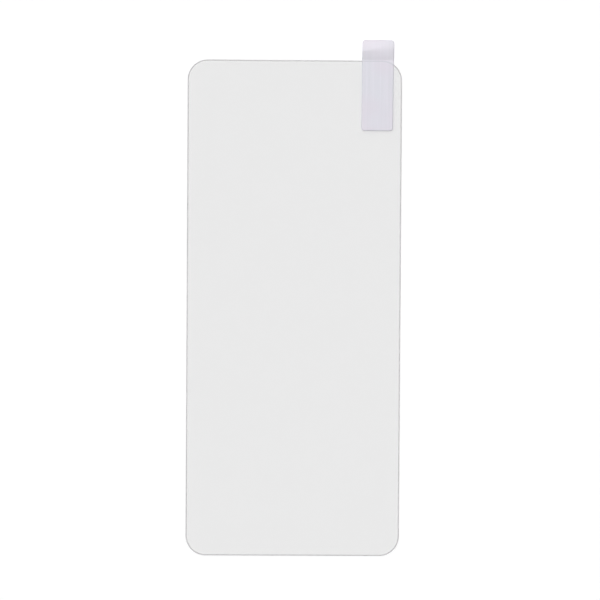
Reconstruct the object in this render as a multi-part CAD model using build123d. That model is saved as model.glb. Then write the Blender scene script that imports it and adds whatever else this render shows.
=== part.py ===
"""Tempered glass screen protector for a phone, lying outer face down under its liner and pull tab.

Millimetres, +Z up. The origin is the centre of the pane's outer face, X runs across the pane and
Y along it, towards the end that has the pull tab.
"""
from build123d import *
from itertools import pairwise
from math import radians, sin
import os

# Pane outline
PANE_WIDTH = 66.0
PANE_LENGTH = 153.0
PANE_CORNER_RADIUS = 6.15

# Toughened glass: a long polished arc round the outer face, and a fine seamed edge round the back
GLASS_THICKNESS = 0.33
EDGE_ARC_REACH = 0.9
EDGE_ARC_DEPTH = 0.18
BACK_SEAM = 0.05

# Silicone adhesive sheet and the polyester liner over it, each cut a little inside the pane's outline
ADHESIVE_THICKNESS = 0.12
ADHESIVE_INSET = 0.3
LINER_THICKNESS = 0.075
LINER_INSET = 0.15

# Pull tab: a film strip stuck to the liner near one corner, with a free end past the pane
TAB_WIDTH = 9.8
TAB_THICKNESS = 0.08
TAB_STUCK_LENGTH = 21.6
TAB_FREE_LENGTH = 6.15
TAB_CORNER_RADIUS = 1.0
TAB_SIDE_GAP = 2.6
TAB_SKEW = 0.3

# Free end of the tab: it bends up at the pane's edge, eases along a ramp, then folds back at a crease
# that runs askew across the strip, tight on the inner side and soft on the outer side. Places are
# distances past the pane's edge, a reach is half the length that a fold takes up, and slopes are
# degrees from the pane's plane.
LIFT_START = -0.05
LIFT_END = 0.35
INNER_LIFT_SLOPE = 34.0
INNER_RAMP_SLOPE = 23.5
INNER_CREASE_PLACE = 2.65
INNER_CREASE_REACH = 0.08
OUTER_LIFT_SLOPE = 28.0
OUTER_RAMP_SLOPE = 15.5
OUTER_CREASE_PLACE = 4.45
OUTER_CREASE_REACH = 1.1
TIP_SLOPE = 1.0
END_SLOPE = 3.0

# How far a cutting shape runs past what it cuts
CUT_MARGIN = 1.0

# Levels of the stack
ADHESIVE_LEVEL = GLASS_THICKNESS
LINER_LEVEL = ADHESIVE_LEVEL + ADHESIVE_THICKNESS
TAB_LEVEL = LINER_LEVEL + LINER_THICKNESS

# The tab's own axes: x across the strip, y along it from the pane's edge towards the free end
TAB_PLACE = Location(
    (PANE_WIDTH / 2 - TAB_SIDE_GAP - TAB_WIDTH / 2, PANE_LENGTH / 2, TAB_LEVEL),
    (0, 0, -TAB_SKEW),
)


def pane_outline(inset):
    """The pane's rounded outline, drawn in by an even distance."""
    return RectangleRounded(
        PANE_WIDTH - 2 * inset,
        PANE_LENGTH - 2 * inset,
        PANE_CORNER_RADIUS - inset,
    )


def tempered_glass():
    """A flat pane with a rim of one cross-section swept right round it."""
    flat_edge = PANE_WIDTH / 2 - EDGE_ARC_REACH
    rim_edge = PANE_WIDTH / 2
    seam_edge = rim_edge - BACK_SEAM
    outer_arc = TangentArc((flat_edge, 0), (rim_edge, EDGE_ARC_DEPTH), tangent=(1, 0))
    flank = Polyline(
        (rim_edge, EDGE_ARC_DEPTH),
        (rim_edge, GLASS_THICKNESS - BACK_SEAM),
        (seam_edge, GLASS_THICKNESS),
        (flat_edge, GLASS_THICKNESS),
        (flat_edge, 0),
    )
    rim_section = Plane.XZ * make_face(outer_arc + flank)
    rim_path = pane_outline(0).wire()
    rim = sweep(rim_section, path=rim_path)
    flat_pane = extrude(pane_outline(EDGE_ARC_REACH), GLASS_THICKNESS)
    return flat_pane + rim


def adhesive_film():
    """The adhesive sheet, laminated to the pane's back."""
    return Pos(0, 0, ADHESIVE_LEVEL) * extrude(pane_outline(ADHESIVE_INSET), ADHESIVE_THICKNESS)


def release_liner():
    """The liner, which overhangs the adhesive a little so that it can be peeled."""
    return Pos(0, 0, LINER_LEVEL) * extrude(pane_outline(LINER_INSET), LINER_THICKNESS)


def tab_section(across, lift_slope, ramp_slope, crease_place, crease_reach):
    """The film's section along the strip: flat on the liner, then an arc from each slope to the next."""
    slopes = [
        (LIFT_START, 0),
        (LIFT_END, lift_slope),
        (crease_place - crease_reach, ramp_slope),
        (crease_place + crease_reach, TIP_SLOPE),
        (TAB_FREE_LENGTH, END_SLOPE),
    ]
    lower_face = [Line((-TAB_STUCK_LENGTH - CUT_MARGIN, 0), (LIFT_START, 0))]
    for (near, near_slope), (far, far_slope) in pairwise(slopes):
        last = lower_face[-1]
        radius = (far - near) / abs(sin(radians(far_slope)) - sin(radians(near_slope)))
        lower_face.append(JernArc(last @ 1, last % 1, radius, far_slope - near_slope))
    last = lower_face[-1]
    lower_face.append(Line(last @ 1, last @ 1 + (last % 1) * CUT_MARGIN))
    film = make_face(Wire(lower_face).offset_2d(TAB_THICKNESS, side=Side.LEFT))
    return Plane(origin=(across, 0, 0), x_dir=(0, 1, 0), z_dir=(1, 0, 0)) * film


def pull_tab():
    """The creased film, lofted from one side of the strip to the other and die-cut to its outline."""
    inner_section = tab_section(
        -TAB_WIDTH / 2,
        INNER_LIFT_SLOPE,
        INNER_RAMP_SLOPE,
        INNER_CREASE_PLACE,
        INNER_CREASE_REACH,
    )
    outer_section = tab_section(
        TAB_WIDTH / 2,
        OUTER_LIFT_SLOPE,
        OUTER_RAMP_SLOPE,
        OUTER_CREASE_PLACE,
        OUTER_CREASE_REACH,
    )
    film = loft([inner_section, outer_section], ruled=True)
    outline = Pos(0, (TAB_FREE_LENGTH - TAB_STUCK_LENGTH) / 2) * RectangleRounded(
        TAB_WIDTH,
        TAB_STUCK_LENGTH + TAB_FREE_LENGTH,
        TAB_CORNER_RADIUS,
    )
    cutter = extrude(outline, TAB_FREE_LENGTH, both=True)
    return TAB_PLACE * (film & cutter)


os.makedirs("parts", exist_ok=True)
for piece in (tempered_glass, adhesive_film, release_liner, pull_tab):
    export_step(piece(), f"parts/{piece.__name__}.step")
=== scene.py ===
"""Dresses a tempered glass phone screen protector that lies outer face down.

Its release liner and pull tab are on top. Meshes are modelled in millimetres in the part's own frame,
and brought to metres when they are finished.
"""
import logging
import math
from abc import ABC, abstractmethod
from collections.abc import Mapping
from dataclasses import dataclass
from enum import Enum, IntEnum
from itertools import pairwise
from typing import ClassVar

import bmesh
import bpy
from bmesh.types import BMesh, BMFace, BMVert
from bpy.types import Material, Node, NodeSocket, NodeTree, Object
from mathutils import Euler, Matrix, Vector


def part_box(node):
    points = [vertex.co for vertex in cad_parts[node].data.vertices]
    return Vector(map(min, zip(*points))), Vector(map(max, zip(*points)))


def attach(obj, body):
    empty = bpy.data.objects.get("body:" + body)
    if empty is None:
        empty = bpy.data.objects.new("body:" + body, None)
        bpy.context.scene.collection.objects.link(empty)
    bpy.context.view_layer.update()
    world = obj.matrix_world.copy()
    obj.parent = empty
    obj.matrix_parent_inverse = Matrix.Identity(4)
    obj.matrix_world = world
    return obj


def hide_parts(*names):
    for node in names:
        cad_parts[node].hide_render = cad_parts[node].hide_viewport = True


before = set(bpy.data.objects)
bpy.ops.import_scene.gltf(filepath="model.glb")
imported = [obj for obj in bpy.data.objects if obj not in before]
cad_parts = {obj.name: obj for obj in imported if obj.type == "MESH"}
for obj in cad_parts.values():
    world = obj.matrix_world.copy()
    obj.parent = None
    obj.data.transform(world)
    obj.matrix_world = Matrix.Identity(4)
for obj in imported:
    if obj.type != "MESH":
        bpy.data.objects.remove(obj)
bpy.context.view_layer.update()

LOG = logging.getLogger("screen_protector")
METRES_PER_MM = 0.001
BODY = "root"

# Corners of the pane, in millimetres and steps, which the films cut inside it follow
PANE_CORNER_RADIUS = 6.15
PANE_CORNER_SEGMENTS = 24
# Hair of air under each film, in millimetres, so that no two faces lie in one plane
AIR_GAP = 0.004

# Noise hardly leaves this span, which is spread over none to one
NOISE_LOW = 0.35
NOISE_HIGH = 0.65
# Finer layers that each noise has
NOISE_DETAIL = 3.0
# Clear faces that light may pass straight on its way, which is more than the layers have
CLEAR_PASSES = 32

# Sockets by number, because some share a name: those of a mix of two shaders or of two colours
FACTOR = 0
SHADER_A = 1
SHADER_B = 2
COLOUR_A = 6
COLOUR_B = 7
COLOUR_OUT = 2


class Layer(Enum):
    """The layers of the protector, each with its node and the slot that its finish belongs to."""

    GLASS = ("tempered_glass", "tempered_glass")
    ADHESIVE = ("adhesive_film", "silicone_adhesive")
    LINER = ("release_liner", "polyester_liner")
    TAB = ("pull_tab", "milky_film")

    @property
    def node(self) -> str:
        """Name of the CAD node."""
        return self.value[0]

    @property
    def slot(self) -> str:
        """Name of the material slot."""
        return self.value[1]

    @property
    def low(self) -> Vector:
        """Lowest corner of the node, in millimetres."""
        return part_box(self.node)[0] / METRES_PER_MM

    @property
    def high(self) -> Vector:
        """Highest corner of the node, in millimetres."""
        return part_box(self.node)[1] / METRES_PER_MM

    @property
    def size(self) -> Vector:
        """Size of the node, in millimetres."""
        return self.high - self.low


class GlassFace(IntEnum):
    """The pane's finishes, by the index that its faces hold."""

    POLISHED = 0
    # Satin faces whose grey tint is painted shade of the rim
    GROUND = 1


class TabFace(IntEnum):
    """The tab's finishes, by the index that its faces hold."""

    MILKY = 0
    UNDERSIDE = 1
    # The rolled edge ring, whose darker tones are painted shade
    CUT = 2


def linear(hex_colour: str) -> tuple[float, float, float, float]:
    """Turns an sRGB hex colour to linear light.

    Args:
        hex_colour: six hex digits, red first.

    Returns:
        Red, green, blue and a full alpha.
    """
    channels = [int(hex_colour[i:i + 2], 16) / 255 for i in (0, 2, 4)]
    light = [c / 12.92 if c <= 0.04045 else ((c + 0.055) / 1.055) ** 2.4 for c in channels]
    return (*light, 1.0)


def add_node(
    tree: NodeTree,
    kind: str,
    values: Mapping[int | str, object] | None = None,
    links: Mapping[int | str, NodeSocket] | None = None,
    **settings: object,
) -> Node:
    """Adds a node to a tree.

    Args:
        tree: the tree that gets the node.
        kind: the node's type name.
        values: constants for inputs, by name or number.
        links: outputs of other nodes, by the input that takes them.
        settings: the node's own properties.

    Returns:
        The new node.
    """
    node = tree.nodes.new(kind)
    for name, setting in settings.items():
        setattr(node, name, setting)
    for name, value in (values or {}).items():
        node.inputs[name].default_value = value
    for name, source in (links or {}).items():
        tree.links.new(source, node.inputs[name])
    return node


def new_material(name: str) -> Material:
    """Makes an empty node material.

    Args:
        name: the material's name.

    Returns:
        The material, with no node in its tree.
    """
    material = bpy.data.materials.new(name)
    material.use_nodes = True
    material.node_tree.nodes.clear()
    return material


def mottle(tree: NodeTree, cell: tuple[float, float, float], seed: float = 0.0) -> NodeSocket:
    """Adds an uneven pattern that is fixed to the piece.

    Args:
        tree: the tree that gets the pattern.
        cell: size of one patch across, along and through the sheet, in millimetres.
        seed: which of the patterns of that size it is.

    Returns:
        A value that wanders from none to one.
    """
    place = add_node(tree, "ShaderNodeTexCoord")
    per_metre = Vector([1.0 / (size * METRES_PER_MM) for size in cell])
    sized = add_node(tree, "ShaderNodeMapping", {"Scale": per_metre}, {"Vector": place.outputs["Object"]})
    noise = add_node(
        tree,
        "ShaderNodeTexNoise",
        {"W": seed, "Scale": 1.0, "Detail": NOISE_DETAIL},
        {"Vector": sized.outputs[0]},
        noise_dimensions="4D",
    )
    spread = add_node(
        tree,
        "ShaderNodeMapRange",
        {"From Min": NOISE_LOW, "From Max": NOISE_HIGH},
        {"Value": noise.outputs[0]},
    )
    return spread.outputs[0]


@dataclass(frozen=True)
class Unevenness:
    """How a surface wanders from true.

    Attributes:
        cell: size of one patch across, along and through the sheet, in millimetres.
        smoothest: roughness of the smoothest patches.
        roughest: roughness of the roughest patches.
        depth: depth of the relief, in millimetres.
    """

    cell: tuple[float, float, float]
    smoothest: float
    roughest: float
    depth: float

    def add(self, tree: NodeTree) -> dict[str, NodeSocket]:
        """Adds the pattern to a tree.

        Args:
            tree: the tree that gets the pattern.

        Returns:
            What a principled shader takes for its roughness and its normal.
        """
        patches = mottle(tree, self.cell)
        roughness = add_node(
            tree,
            "ShaderNodeMapRange",
            {"To Min": self.smoothest, "To Max": self.roughest},
            {"Value": patches},
        )
        depth = self.depth * METRES_PER_MM
        relief = add_node(tree, "ShaderNodeBump", {"Distance": depth}, {"Height": patches})
        return {"Roughness": roughness.outputs[0], "Normal": relief.outputs[0]}


@dataclass(frozen=True)
class PaintedRimMask:
    """A mask for a painted shade line over the pane's rim, which follows the pane's rounded outline.

    Attributes:
        inset: distance from the outline in to the middle of the line, in millimetres.
        width: width of the line, in millimetres.
    """

    inset: float = 0.2
    width: float = 0.36

    def add(self, tree: NodeTree) -> NodeSocket:
        """Adds the line to a tree.

        Args:
            tree: the tree that gets the line.

        Returns:
            One on the line and none elsewhere.
        """
        # No piece is higher than the tab, so height drops out and only the distance in plan is left
        corner_centre = Vector((
            Layer.GLASS.high.x - PANE_CORNER_RADIUS,
            Layer.GLASS.high.y - PANE_CORNER_RADIUS,
            Layer.TAB.high.z,
        ))
        place = add_node(tree, "ShaderNodeTexCoord")
        folded = add_node(
            tree, "ShaderNodeVectorMath", links={0: place.outputs["Object"]}, operation="ABSOLUTE",
        )
        past = add_node(
            tree,
            "ShaderNodeVectorMath",
            {1: corner_centre * METRES_PER_MM},
            {0: folded.outputs[0]},
            operation="SUBTRACT",
        )
        outside = add_node(tree, "ShaderNodeVectorMath", links={0: past.outputs[0]}, operation="MAXIMUM")
        reach = add_node(tree, "ShaderNodeVectorMath", links={0: outside.outputs[0]}, operation="LENGTH")
        line_reach = (PANE_CORNER_RADIUS - self.inset) * METRES_PER_MM
        line = add_node(
            tree,
            "ShaderNodeMath",
            {1: line_reach, 2: self.width / 2 * METRES_PER_MM},
            {0: reach.outputs["Value"]},
            operation="COMPARE",
        )
        return line.outputs[0]


@dataclass(frozen=True)
class ClearFinish:
    """A clear sheet, glass or film, that mirrors and tints a little and lets lamp light through.

    Attributes:
        name: the material's name.
        tint: colour of what is seen through one face.
        shadow_tint: colour of the light that passes one face.
        ior: index of refraction.
        surface: how the faces wander from true.
    """

    name: str
    tint: str
    shadow_tint: str
    ior: float
    surface: Unevenness

    def material(self) -> Material:
        """Builds the finish.

        Returns:
            A refracting shader, with a plain clear one in its place for light on its way below.
        """
        material = new_material(self.name)
        tree = material.node_tree
        body = add_node(
            tree,
            "ShaderNodeBsdfPrincipled",
            {"Base Color": linear(self.tint), "IOR": self.ior, "Transmission Weight": 1.0},
            self.surface.add(tree),
        )
        clear = add_node(tree, "ShaderNodeBsdfTransparent", {"Color": linear(self.shadow_tint)})
        path = add_node(tree, "ShaderNodeLightPath")
        lamp_side = add_node(tree, "ShaderNodeMixShader", links={
            FACTOR: path.outputs["Is Shadow Ray"],
            SHADER_A: body.outputs[0],
            SHADER_B: clear.outputs[0],
        })
        bounce_side = add_node(tree, "ShaderNodeMixShader", links={
            FACTOR: path.outputs["Is Diffuse Ray"],
            SHADER_A: lamp_side.outputs[0],
            SHADER_B: clear.outputs[0],
        })
        add_node(tree, "ShaderNodeOutputMaterial", links={"Surface": bounce_side.outputs[0]})
        return material


@dataclass(frozen=True)
class MilkyFinish:
    """A milky film that scatters light in streaks, drifts in hue and has painted shade along the pane's
    rim.

    Attributes:
        name: the material's name.
        pale: colour of the palest streaks.
        deep: colour of the deepest streaks.
        blush: colour that the film drifts to.
        painted_rim_shade: colour of the painted shade line over the pane's rim.
        shadow_tint: colour of the light that passes the film.
        clear_share: share of the film that is seen straight through.
        glow_share: share of the rest that passes light on, scattered.
        surface: how the face wanders from true. Its patches are the streaks.
        drift_cell: size of one patch of the drift, in millimetres.
        drift_seed: which of the patterns of that size it is.
        painted_rim_mask: where the painted shade line over the pane's rim lies.
        ior: index of refraction.
    """

    name: str
    pale: str
    deep: str
    blush: str
    painted_rim_shade: str
    shadow_tint: str
    clear_share: float
    glow_share: float
    surface: Unevenness
    drift_cell: float = 20.0
    drift_seed: float = 4.0
    painted_rim_mask: PaintedRimMask = PaintedRimMask()
    ior: float = 1.5

    def tone(self, tree: NodeTree) -> NodeSocket:
        """Adds the film's colour: streaks, a drift over the strip, and painted shade along the pane's
        rim.

        Args:
            tree: the tree that gets the colour.

        Returns:
            The colour.
        """
        streaks = add_node(
            tree,
            "ShaderNodeMix",
            {COLOUR_A: linear(self.deep), COLOUR_B: linear(self.pale)},
            {FACTOR: mottle(tree, self.surface.cell)},
            data_type="RGBA",
        )
        drift = mottle(tree, (self.drift_cell,) * 3, self.drift_seed)
        drifting = add_node(
            tree,
            "ShaderNodeMix",
            {COLOUR_B: linear(self.blush)},
            {FACTOR: drift, COLOUR_A: streaks.outputs[COLOUR_OUT]},
            data_type="RGBA",
        )
        # Painted shade: the film is darkened along the line where the pane's rim lies below
        rim_shaded = add_node(
            tree,
            "ShaderNodeMix",
            {COLOUR_B: linear(self.painted_rim_shade)},
            {FACTOR: self.painted_rim_mask.add(tree), COLOUR_A: drifting.outputs[COLOUR_OUT]},
            data_type="RGBA",
        )
        return rim_shaded.outputs[COLOUR_OUT]

    def material(self) -> Material:
        """Builds the finish.

        Returns:
            A scattering shader with a share that passes light on and a clear share, thin to lamp light.
        """
        material = new_material(self.name)
        tree = material.node_tree
        tone = self.tone(tree)
        body = add_node(
            tree,
            "ShaderNodeBsdfPrincipled",
            {"IOR": self.ior},
            {"Base Color": tone, **self.surface.add(tree)},
        )
        glow = add_node(tree, "ShaderNodeBsdfTranslucent", links={"Color": tone})
        clear = add_node(tree, "ShaderNodeBsdfTransparent")
        thin = add_node(tree, "ShaderNodeBsdfTransparent", {"Color": linear(self.shadow_tint)})
        film = add_node(
            tree,
            "ShaderNodeMixShader",
            {FACTOR: self.glow_share},
            {SHADER_A: body.outputs[0], SHADER_B: glow.outputs[0]},
        )
        seen = add_node(
            tree,
            "ShaderNodeMixShader",
            {FACTOR: self.clear_share},
            {SHADER_A: film.outputs[0], SHADER_B: clear.outputs[0]},
        )
        path = add_node(tree, "ShaderNodeLightPath")
        lamp_side = add_node(tree, "ShaderNodeMixShader", links={
            FACTOR: path.outputs["Is Shadow Ray"],
            SHADER_A: seen.outputs[0],
            SHADER_B: thin.outputs[0],
        })
        add_node(tree, "ShaderNodeOutputMaterial", links={"Surface": lamp_side.outputs[0]})
        return material


@dataclass(frozen=True)
class PlainClear:
    """A clear face that light passes straight.

    Attributes:
        name: the material's name.
        tint: colour of the light that passes.
    """

    name: str
    tint: str

    def material(self) -> Material:
        """Builds the finish.

        Returns:
            A plain clear shader.
        """
        material = new_material(self.name)
        tree = material.node_tree
        clear = add_node(tree, "ShaderNodeBsdfTransparent", {"Color": linear(self.tint)})
        add_node(tree, "ShaderNodeOutputMaterial", links={"Surface": clear.outputs[0]})
        return material


# Thin float glass, toughened and polished: colourless and mirror smooth, with long faint ripples
POLISHED_GLASS = ClearFinish(
    name="polished_float_glass",
    tint="FCFCFC",
    shadow_tint="FDFDFD",
    ior=1.52,
    surface=Unevenness(cell=(9.0, 22.0, 22.0), smoothest=0.0, roughest=0.02, depth=0.004),
)
# The same glass ground by a wheel and left satin, which turns the light aside. Its grey tint is painted
# shade that draws the rim as a thin grey line. The wheel's marks are drawn coarser than real ones so that
# they show.
GROUND_EDGE_PAINTED_SHADE = ClearFinish(
    name="ground_glass_edge_painted_shade",
    # Painted shade: this grey tint draws the rim as a dark line
    tint="B5B2B5",
    shadow_tint="FBFBFB",
    ior=1.52,
    surface=Unevenness(cell=(1.2, 1.2, 0.1), smoothest=0.1, roughest=0.2, depth=0.002),
)
# Silicone sheet, cast on a carrier: clear and soft. It is bonded to the glass, so its index is set lower
# than the real one, and there is hardly a mirror where they meet.
SILICONE = ClearFinish(
    name="cast_silicone_sheet",
    tint="FEFEFE",
    shadow_tint="FEFEFE",
    ior=1.05,
    surface=Unevenness(cell=(2.5, 2.5, 2.5), smoothest=0.01, roughest=0.04, depth=0.002),
)
# Polyester film, drawn lengthwise: clear and glossy with fine lines along the pane, which are drawn
# coarser than real ones so that they show. Its index is set lower than the real one, because the adhesive
# below wets it and it mirrors less.
POLYESTER = ClearFinish(
    name="drawn_polyester_film",
    tint="FEFEFE",
    shadow_tint="FDFDFD",
    ior=1.30,
    surface=Unevenness(cell=(0.7, 40.0, 40.0), smoothest=0.01, roughest=0.06, depth=0.0005),
)
# Polyester filled with white pigment and calendered: milky lavender and satin, with faint streaks along
# the strip, which are drawn coarser than real ones so that they show
MILKY_POLYESTER = MilkyFinish(
    name="milky_calendered_film",
    pale="E6E6F0",
    deep="DEDFE8",
    blush="E5DCE8",
    # Painted shade where the pane's rim lies below the film
    painted_rim_shade="D6D6DF",
    shadow_tint="F2F2F4",
    clear_share=0.26,
    glow_share=0.05,
    surface=Unevenness(cell=(0.6, 30.0, 30.0), smoothest=0.4, roughest=0.5, depth=0.001),
)
# The film's underside is wetted by its own adhesive, so light passes it
CLEAR_UNDERSIDE = PlainClear(name="wetted_film_underside", tint="FDFDFD")
# The same film at the edge that the die's blade rolls over: ragged, and a shade darker as painted shade
# of the edge. The raggedness is drawn coarser than it is so that it shows.
CUT_EDGE_PAINTED_SHADE = MilkyFinish(
    name="die_cut_film_edge_painted_shade",
    # Painted shade: these tones are darker so that the edge ring shows as a dark line
    pale="D3D4DC",
    deep="CCCDD5",
    blush="D3CAD5",
    # Painted shade where the pane's rim lies below the film
    painted_rim_shade="CBCBD4",
    shadow_tint="F2F2F4",
    clear_share=0.03,
    glow_share=0.05,
    surface=Unevenness(cell=(0.4, 0.4, 0.4), smoothest=0.4, roughest=0.55, depth=0.004),
)


@dataclass(frozen=True)
class Sheet(ABC):
    """A piece that is cut from sheet stock and stands for one node of the frame.

    Attributes:
        SHARP_ANGLE: an edge that turns by more than this, in degrees, is drawn sharp.
        layer: the layer that the piece is.
    """

    SHARP_ANGLE: ClassVar[float] = 30.0
    layer: Layer

    @abstractmethod
    def shape(self, mesh: BMesh) -> None:
        """Models the piece in millimetres.

        Args:
            mesh: the empty mesh that gets it.
        """

    @abstractmethod
    def finishes(self) -> list[Material]:
        """Materials by the index that the faces hold."""

    def place(self) -> Object:
        """Models and dresses the piece and hangs it on the frame.

        Returns:
            The finished object.
        """
        mesh = bmesh.new()
        self.shape(mesh)
        bmesh.ops.recalc_face_normals(mesh, faces=mesh.faces[:])
        for face in mesh.faces:
            face.smooth = True
        bmesh.ops.scale(mesh, vec=Vector((METRES_PER_MM,) * 3), verts=mesh.verts[:])
        data = bpy.data.meshes.new(self.layer.node)
        mesh.to_mesh(data)
        mesh.free()
        for material in self.finishes():
            data.materials.append(material)
        data.set_sharp_from_angle(angle=math.radians(self.SHARP_ANGLE))
        piece = bpy.data.objects.new(f"dressed_{self.layer.node}", data)
        bpy.context.scene.collection.objects.link(piece)
        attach(piece, BODY)
        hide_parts(self.layer.node)
        LOG.info("%s: %d faces", piece.name, len(data.polygons))
        return piece


def rounded_face(
    mesh: BMesh,
    width: float,
    length: float,
    radius: float,
    segments: int,
    level: float,
) -> BMFace:
    """Adds a flat face with round corners, centred on the origin.

    Args:
        mesh: the mesh that gets the face.
        width: size across X.
        length: size along Y.
        radius: corner radius.
        segments: steps of each corner.
        level: height of the face.

    Returns:
        The new face.
    """
    corners = bmesh.ops.create_grid(mesh, x_segments=1, y_segments=1, size=0.5)["verts"]
    bmesh.ops.scale(mesh, vec=Vector((width, length, 1.0)), verts=corners)
    bmesh.ops.translate(mesh, vec=Vector((0.0, 0.0, level)), verts=corners)
    bmesh.ops.bevel(
        mesh,
        geom=corners,
        offset=radius,
        offset_type="OFFSET",
        segments=segments,
        profile=0.5,
        affect="VERTICES",
        material=-1,
    )
    mesh.faces.ensure_lookup_table()
    return mesh.faces[0]


def raise_face(mesh: BMesh, face: BMFace, height: float) -> BMFace:
    """Raises walls from a face's outline, with a second face on top.

    Args:
        mesh: the mesh that the face is in.
        face: the face, which stays where it is.
        height: height of the walls.

    Returns:
        The face on top.
    """
    raised = bmesh.ops.extrude_face_region(mesh, geom=[face])["geom"]
    top = next(item for item in raised if isinstance(item, BMFace))
    bmesh.ops.translate(mesh, vec=Vector((0.0, 0.0, height)), verts=top.verts[:])
    return top


@dataclass(frozen=True)
class GlassPane(Sheet):
    """The toughened pane, with a long arc round its outer face and a seamed edge round its back.

    Attributes:
        arc_reach: how far the arc runs in from the flank.
        arc_depth: how far the arc drops from the flank to the outer face.
        arc_steps: steps of the arc.
        ground_steps: satin steps next to the flank, tinted grey as painted shade; the rest is polished.
        back_seam: width and depth of the seam.
        support: width of the ring that keeps the shading of a flat face flat up to its edge.
    """

    arc_reach: float = 0.9
    arc_depth: float = 0.18
    arc_steps: int = 10
    ground_steps: int = 4
    back_seam: float = 0.05
    support: float = 0.02

    def seam_back(self, mesh: BMesh, back: BMFace) -> None:
        """Seams the edge of the back.

        Args:
            mesh: the pane's mesh.
            back: the back's face.
        """
        bmesh.ops.inset_region(
            mesh, faces=[back], thickness=self.back_seam, depth=self.back_seam, use_even_offset=True,
        )
        bmesh.ops.inset_region(mesh, faces=[back], thickness=self.support, use_even_offset=True)
        back.material_index = GlassFace.POLISHED

    def roll_arc(self, mesh: BMesh, outer: BMFace) -> None:
        """Rolls the arc from the flank in to the flat of the outer face.

        Args:
            mesh: the pane's mesh.
            outer: the outer face, still as large as the outline.
        """
        radius = (self.arc_reach ** 2 + self.arc_depth ** 2) / (2 * self.arc_depth)
        turn = math.asin(self.arc_reach / radius)
        for step in range(self.arc_steps):
            here = turn * (1 - step / self.arc_steps)
            there = turn * (1 - (step + 1) / self.arc_steps)
            inset = radius * (math.sin(here) - math.sin(there))
            drop = radius * (math.cos(there) - math.cos(here))
            bmesh.ops.inset_region(
                mesh, faces=[outer], thickness=inset, depth=drop, use_even_offset=True,
            )
            if step + 1 >= self.ground_steps:
                outer.material_index = GlassFace.POLISHED
        bmesh.ops.inset_region(mesh, faces=[outer], thickness=self.support, use_even_offset=True)

    def shape(self, mesh: BMesh) -> None:
        """Raises the flank from the outline, seams the back and rolls the arc.

        Args:
            mesh: the empty mesh that gets the pane.
        """
        size = self.layer.size
        outer = rounded_face(
            mesh, size.x, size.y, PANE_CORNER_RADIUS, PANE_CORNER_SEGMENTS, self.arc_depth,
        )
        back = raise_face(mesh, outer, size.z - self.back_seam - self.arc_depth)
        for face in mesh.faces:
            face.material_index = GlassFace.GROUND
        self.seam_back(mesh, back)
        self.roll_arc(mesh, outer)

    def finishes(self) -> list[Material]:
        """The finishes in the order of GlassFace."""
        return [POLISHED_GLASS.material(), GROUND_EDGE_PAINTED_SHADE.material()]


@dataclass(frozen=True)
class FilmSheet(Sheet):
    """A flat film that is die-cut to the pane's outline a little way in.

    Attributes:
        finish: the film's finish.
    """

    finish: ClearFinish

    def shape(self, mesh: BMesh) -> None:
        """Raises the cut outline, clear of the layer below by a hair.

        Args:
            mesh: the empty mesh that gets the film.
        """
        size = self.layer.size
        radius = PANE_CORNER_RADIUS - (Layer.GLASS.high.x - self.layer.high.x)
        level = self.layer.low.z + AIR_GAP
        lower = rounded_face(mesh, size.x, size.y, radius, PANE_CORNER_SEGMENTS, level)
        raise_face(mesh, lower, size.z - AIR_GAP)

    def finishes(self) -> list[Material]:
        """The film's own finish."""
        return [self.finish.material()]


def arc_rise(start: tuple[float, float], end: tuple[float, float], part: float) -> float:
    """How far an arc of film has risen.

    Args:
        start: place of the arc's start along the strip, and the sine of its slope there.
        end: the same for the arc's end.
        part: share of the arc's length along the strip.

    Returns:
        The rise in millimetres.
    """
    bend = (end[1] - start[1]) / (end[0] - start[0])
    sine = start[1] + part * (end[1] - start[1])
    return (math.sqrt(1 - start[1] ** 2) - math.sqrt(1 - sine ** 2)) / bend


@dataclass(frozen=True)
class Fold:
    """How one side of the strip runs.

    Attributes:
        lift_angle: slope at the foot of the ramp, in degrees.
        ramp_angle: slope at the head of the ramp, in degrees.
        crease_place: place of the crease, in millimetres past the pane's edge.
        crease_reach: half the length that the crease takes up, in millimetres.
    """

    lift_angle: float
    ramp_angle: float
    crease_place: float
    crease_reach: float


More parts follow.
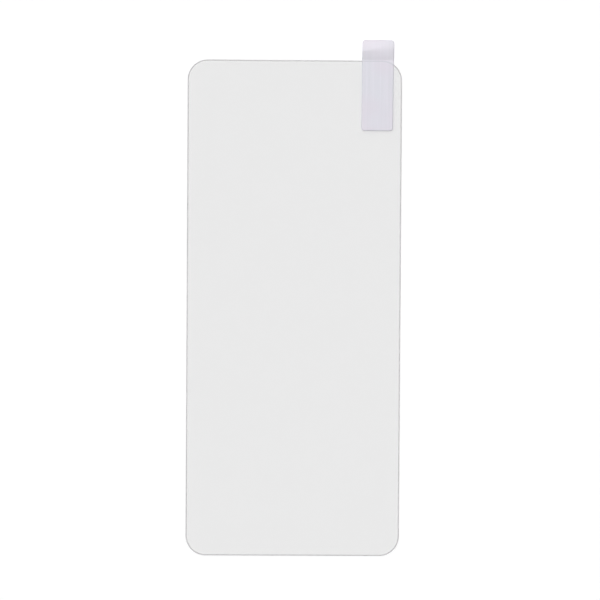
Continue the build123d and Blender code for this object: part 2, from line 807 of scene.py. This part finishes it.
@dataclass(frozen=True)
class PullTab(Sheet):
    """The milky film strip, flat on the liner, lifted at the pane's edge and creased askew.

    Attributes:
        SHARP_ANGLE: a half turn, so that no edge of the film is drawn sharp.
        width: width of the strip.
        stuck_length: length that is stuck to the liner.
        free_length: length past the pane's edge.
        corner_radius: radius of the cut corners.
        corner_segments: steps of each corner.
        side_gap: distance from the pane's side.
        skew: turn of the strip on the pane, in degrees.
        thickness: thickness of the film.
        lift_start: place where the lift starts, past the pane's edge.
        lift_end: place where the lift ends.
        tip_angle: slope past the crease, in degrees.
        end_angle: slope at the free end, in degrees.
        inner_fold: the side towards the pane's middle.
        outer_fold: the side towards the pane's corner.
        cut_spacing: distance of the divisions along the free end.
        strip_spacing: distance of the divisions across the strip.
        roll_width: width of the edge that the die's blade rolls over.
        roll_drop: how far the blade rolls it down.
        support: width of the ring that keeps the shading of the face flat up to the rolled edge.
    """

    SHARP_ANGLE: ClassVar[float] = 180.0
    width: float = 9.8
    stuck_length: float = 21.6
    free_length: float = 6.15
    corner_radius: float = 1.0
    corner_segments: int = 8
    side_gap: float = 2.6
    skew: float = 0.3
    thickness: float = 0.08
    lift_start: float = -0.05
    lift_end: float = 0.35
    tip_angle: float = 1.0
    end_angle: float = 3.0
    inner_fold: Fold = Fold(lift_angle=34.0, ramp_angle=23.5, crease_place=2.65, crease_reach=0.08)
    outer_fold: Fold = Fold(lift_angle=28.0, ramp_angle=15.5, crease_place=4.45, crease_reach=1.1)
    cut_spacing: float = 0.1
    strip_spacing: float = 0.7
    roll_width: float = 0.19
    roll_drop: float = 0.07
    support: float = 0.05

    @property
    def length(self) -> float:
        """Length of the strip from end to end."""
        return self.stuck_length + self.free_length

    @property
    def middle(self) -> float:
        """Place of the strip's middle, past the pane's edge."""
        return (self.free_length - self.stuck_length) / 2

    def slopes(self, fold: Fold) -> list[tuple[float, float]]:
        """How the film's slope runs along one side of the strip.

        Args:
            fold: the fold on that side.

        Returns:
            Places along the strip, from the pane's edge, and the sine of the slope at each.
        """
        angles = [
            (self.lift_start, 0.0),
            (self.lift_end, fold.lift_angle),
            (fold.crease_place - fold.crease_reach, fold.ramp_angle),
            (fold.crease_place + fold.crease_reach, self.tip_angle),
            (self.free_length, self.end_angle),
        ]
        return [(knot, math.sin(math.radians(angle))) for knot, angle in angles]

    def height(self, across: float, along: float) -> float:
        """Height of the film's lower face over the liner, ruled from one side's arcs to the other's.

        Args:
            across: distance from the strip's middle line.
            along: distance from the pane's edge towards the free end.

        Returns:
            The height in millimetres.
        """
        share = min(max(across / self.width + 0.5, 0.0), 1.0)
        inner = pairwise(self.slopes(self.inner_fold))
        outer = pairwise(self.slopes(self.outer_fold))
        level = 0.0
        for inner_arc, outer_arc in zip(inner, outer):
            near, far = [a[0] + share * (b[0] - a[0]) for a, b in zip(inner_arc, outer_arc)]
            part = min(max((along - near) / (far - near), 0.0), 1.0)
            level += (1 - share) * arc_rise(*inner_arc, part) + share * arc_rise(*outer_arc, part)
        return level

    def edge_distance(self, across: float, along: float) -> float:
        """How far a point of the strip lies inside its cut outline.

        Args:
            across: distance from the strip's middle line.
            along: distance from the pane's edge towards the free end.

        Returns:
            The distance in millimetres.
        """
        side = self.width / 2 - abs(across)
        end = self.length / 2 - abs(along - self.middle)
        corner = Vector((max(self.corner_radius - side, 0.0), max(self.corner_radius - end, 0.0)))
        if min(corner) > 0.0:
            return self.corner_radius - corner.length
        return min(side, end)

    def cut_outline(self, mesh: BMesh) -> None:
        """Cuts the flat strip, with a ring for the rolled edge and one that supports the face.

        Args:
            mesh: the empty mesh that gets the strip.
        """
        face = rounded_face(mesh, self.width, self.length, self.corner_radius, self.corner_segments, 0.0)
        bmesh.ops.inset_region(
            mesh, faces=[face], thickness=self.roll_width, use_boundary=True, use_even_offset=True,
        )
        for part in mesh.faces:
            part.material_index = TabFace.MILKY if part == face else TabFace.CUT
        bmesh.ops.inset_region(mesh, faces=[face], thickness=self.support, use_even_offset=True)
        bmesh.ops.translate(mesh, vec=Vector((0.0, self.middle, 0.0)), verts=mesh.verts[:])

    def divide(self, mesh: BMesh) -> None:
        """Divides the free end finely along its length, and the whole strip across its width.

        Args:
            mesh: the flat strip.
        """
        bends = int((self.free_length - self.lift_start) / self.cut_spacing)
        strips = int(self.width / self.strip_spacing)
        # The first cut lies before the lift, so that the stuck part's shading ends there
        along = [self.lift_start + i * self.cut_spacing for i in range(-1, bends + 1)]
        across = [self.width * (i / strips - 0.5) for i in range(1, strips)]
        cuts = [(Vector((0, place, 0)), Vector((0, 1, 0))) for place in along]
        cuts += [(Vector((place, 0, 0)), Vector((1, 0, 0))) for place in across]
        for point, normal in cuts:
            geometry = mesh.verts[:] + mesh.edges[:] + mesh.faces[:]
            bmesh.ops.bisect_plane(mesh, geom=geometry, plane_co=point, plane_no=normal)

    def thicken(self, mesh: BMesh) -> None:
        """Gives the bent film its thickness and its rolled edge.

        Args:
            mesh: the film's lower face.
        """
        under = mesh.faces[:]
        raised = bmesh.ops.extrude_face_region(mesh, geom=under)["geom"]
        for vertex in (item for item in raised if isinstance(item, BMVert)):
            inside = self.edge_distance(vertex.co.x, vertex.co.y)
            rolled = max(1.0 - inside / self.roll_width, 0.0)
            vertex.co.z += self.thickness - AIR_GAP - self.roll_drop * rolled ** 2
        for face in under:
            face.material_index = TabFace.UNDERSIDE

    def lay(self, mesh: BMesh) -> None:
        """Lays the finished strip on the liner.

        Args:
            mesh: the strip, with the pane's edge at its origin.
        """
        pane_high = Layer.GLASS.high
        middle_line = pane_high.x - self.side_gap - self.width / 2
        place = Vector((middle_line, pane_high.y, self.layer.low.z + AIR_GAP))
        turn = Euler((0, 0, -math.radians(self.skew))).to_matrix()
        bmesh.ops.rotate(mesh, verts=mesh.verts[:], cent=Vector(), matrix=turn)
        bmesh.ops.translate(mesh, vec=place, verts=mesh.verts[:])

    def shape(self, mesh: BMesh) -> None:
        """Cuts the strip, bends its free end, thickens it and lays it on the liner.

        Args:
            mesh: the empty mesh that gets the tab.
        """
        self.cut_outline(mesh)
        self.divide(mesh)
        for vertex in mesh.verts:
            vertex.co.z = self.height(vertex.co.x, vertex.co.y)
        self.thicken(mesh)
        self.lay(mesh)

    def finishes(self) -> list[Material]:
        """The finishes in the order of TabFace."""
        return [MILKY_POLYESTER.material(), CLEAR_UNDERSIDE.material(), CUT_EDGE_PAINTED_SHADE.material()]


@dataclass(frozen=True)
class Studio:
    """A white floor and backdrop, a dim ceiling and one large softbox from the far left.

    Attributes:
        floor_half: half the floor's width, in millimetres.
        floor_gap: how far the floor lies under the part, in millimetres.
        floor_colour: colour of the floor's paper.
        floor_lift: light that the floor adds where it is seen, so that it shows as white.
        backdrop: brightness of the backdrop.
        ceiling: brightness of the ceiling.
        backdrop_top: sine of the elevation where the backdrop starts to dim.
        ceiling_start: sine of the elevation where the ceiling starts.
        lamp_spread: angle across the lamp, in degrees.
        lamp_elevation: the lamp's angle over the floor, in degrees.
        lamp_bearing: the lamp's angle from +Y towards -X, in degrees.
        lamp_level: how bright the lamp makes a white floor.
        glow_inner: angle from the lamp's middle that its glow fills evenly, in degrees.
        glow_outer: angle from the lamp's middle where its glow ends, in degrees.
        glow_level: brightness that the lamp's glow adds to the ceiling.
    """

    floor_half: float = 4000.0
    floor_gap: float = 0.02
    floor_colour: str = "F4F4F4"
    floor_lift: float = 0.16
    backdrop: float = 1.0
    ceiling: float = 0.18
    backdrop_top: float = 0.2
    ceiling_start: float = 0.6
    lamp_spread: float = 40.0
    lamp_elevation: float = 46.5
    lamp_bearing: float = 28.0
    lamp_level: float = 0.605
    glow_inner: float = 15.0
    glow_outer: float = 30.0
    glow_level: float = 1.0

    @property
    def lamp_way(self) -> Vector:
        """The way to the lamp.

        Returns:
            A vector that is one long.
        """
        elevation = math.radians(self.lamp_elevation)
        bearing = math.radians(self.lamp_bearing)
        return Vector((
            -math.sin(bearing) * math.cos(elevation),
            math.cos(bearing) * math.cos(elevation),
            math.sin(elevation),
        ))

    def paper(self) -> Material:
        """Builds the floor's matt white paper.

        Returns:
            A paper that keeps shadows, and shows as white to the eye, in mirrors and through glass.
        """
        material = new_material("white_paper_floor")
        tree = material.node_tree
        matt = add_node(tree, "ShaderNodeBsdfDiffuse", {"Color": linear(self.floor_colour)})
        path = add_node(tree, "ShaderNodeLightPath")
        mirrored = add_node(
            tree,
            "ShaderNodeMath",
            links={0: path.outputs["Is Camera Ray"], 1: path.outputs["Is Glossy Ray"]},
            operation="MAXIMUM",
        )
        seen = add_node(
            tree,
            "ShaderNodeMath",
            links={0: mirrored.outputs[0], 1: path.outputs["Is Transmission Ray"]},
            operation="MAXIMUM",
        )
        lift = add_node(
            tree, "ShaderNodeMath", {1: self.floor_lift}, {0: seen.outputs[0]}, operation="MULTIPLY",
        )
        white = add_node(tree, "ShaderNodeEmission", links={"Strength": lift.outputs[0]})
        both = add_node(tree, "ShaderNodeAddShader", links={0: matt.outputs[0], 1: white.outputs[0]})
        add_node(tree, "ShaderNodeOutputMaterial", links={"Surface": both.outputs[0]})
        return material

    def floor(self) -> Object:
        """Lays the floor.

        Returns:
            The floor's object.
        """
        mesh = bmesh.new()
        bmesh.ops.create_grid(mesh, x_segments=1, y_segments=1, size=self.floor_half * METRES_PER_MM)
        drop = Vector((0.0, 0.0, -self.floor_gap * METRES_PER_MM))
        bmesh.ops.translate(mesh, vec=drop, verts=mesh.verts[:])
        data = bpy.data.meshes.new("floor")
        mesh.to_mesh(data)
        mesh.free()
        data.materials.append(self.paper())
        floor = bpy.data.objects.new("floor", data)
        bpy.context.scene.collection.objects.link(floor)
        return floor

    def sky(self) -> None:
        """Lights the scene from all round: the backdrop, the ceiling and the lamp's glow in it."""
        world = bpy.data.worlds.new("studio")
        world.use_nodes = True
        tree = world.node_tree
        tree.nodes.clear()
        place = add_node(tree, "ShaderNodeTexCoord")
        axes = add_node(tree, "ShaderNodeSeparateXYZ", links={0: place.outputs["Generated"]})
        level = add_node(
            tree,
            "ShaderNodeMapRange",
            {
                "From Min": self.backdrop_top,
                "From Max": self.ceiling_start,
                "To Min": self.backdrop,
                "To Max": self.ceiling,
            },
            {"Value": axes.outputs["Z"]},
            interpolation_type="SMOOTHSTEP",
        )
        facing = add_node(
            tree,
            "ShaderNodeVectorMath",
            {1: self.lamp_way},
            {0: place.outputs["Generated"]},
            operation="DOT_PRODUCT",
        )
        glow = add_node(
            tree,
            "ShaderNodeMapRange",
            {
                "From Min": math.cos(math.radians(self.glow_outer)),
                "From Max": math.cos(math.radians(self.glow_inner)),
                "To Min": 0.0,
                "To Max": self.glow_level,
            },
            {"Value": facing.outputs["Value"]},
            interpolation_type="SMOOTHSTEP",
        )
        both = add_node(
            tree, "ShaderNodeMath", links={0: level.outputs[0], 1: glow.outputs[0]}, operation="ADD",
        )
        light = add_node(tree, "ShaderNodeBackground", links={"Strength": both.outputs[0]})
        add_node(tree, "ShaderNodeOutputWorld", links={"Surface": light.outputs[0]})
        bpy.context.scene.world = world

    def lamp(self) -> Object:
        """Hangs the soft lamp, at a power that lights the floor to the wanted level.

        Returns:
            The lamp, which mirrors and glass don't show, because the sky holds its glow.
        """
        data = bpy.data.lights.new("softbox", "SUN")
        data.angle = math.radians(self.lamp_spread)
        data.energy = self.lamp_level * math.pi / self.lamp_way.z
        lamp = bpy.data.objects.new("softbox", data)
        lamp.visible_transmission = False
        lamp.visible_glossy = False
        lamp.rotation_euler = self.lamp_way.to_track_quat("Z", "Y").to_euler()
        bpy.context.scene.collection.objects.link(lamp)
        return lamp

    def build(self) -> None:
        """Sets up the floor, the sky and the lamp."""
        self.floor()
        self.sky()
        self.lamp()


@dataclass(frozen=True)
class PhotoCamera:
    """A long lens that looks down on the pane, a degree off square.

    Attributes:
        place: the camera's place, in millimetres.
        turn: the camera's turn about X, Y and Z, in degrees.
        lens: focal length, in millimetres.
        sensor: width of the sensor, in millimetres.
    """

    place: tuple[float, float, float] = (-3.86, 11.534, 514.66)
    turn: tuple[float, float, float] = (-0.9924, -0.6411, 0.3483)
    lens: float = 100.0
    sensor: float = 36.0

    def build(self) -> Object:
        """Makes the scene's camera.

        Returns:
            The camera's object.
        """
        data = bpy.data.cameras.new("photo_camera")
        data.lens = self.lens
        data.sensor_width = self.sensor
        camera = bpy.data.objects.new("photo_camera", data)
        camera.location = Vector(self.place) * METRES_PER_MM
        camera.rotation_euler = Euler([math.radians(angle) for angle in self.turn])
        bpy.context.scene.collection.objects.link(camera)
        bpy.context.scene.camera = camera
        return camera


def main() -> None:
    """Builds the scene."""
    logging.basicConfig(level=logging.INFO)
    scene = bpy.context.scene
    scene.view_settings.view_transform = "Standard"
    scene.cycles.transparent_max_bounces = CLEAR_PASSES
    PhotoCamera().build()
    Studio().build()
    pieces: list[Sheet] = [
        GlassPane(Layer.GLASS),
        FilmSheet(Layer.ADHESIVE, SILICONE),
        FilmSheet(Layer.LINER, POLYESTER),
        PullTab(Layer.TAB),
    ]
    for piece in pieces:
        piece.place()


if __name__ == "__main__":
    main()
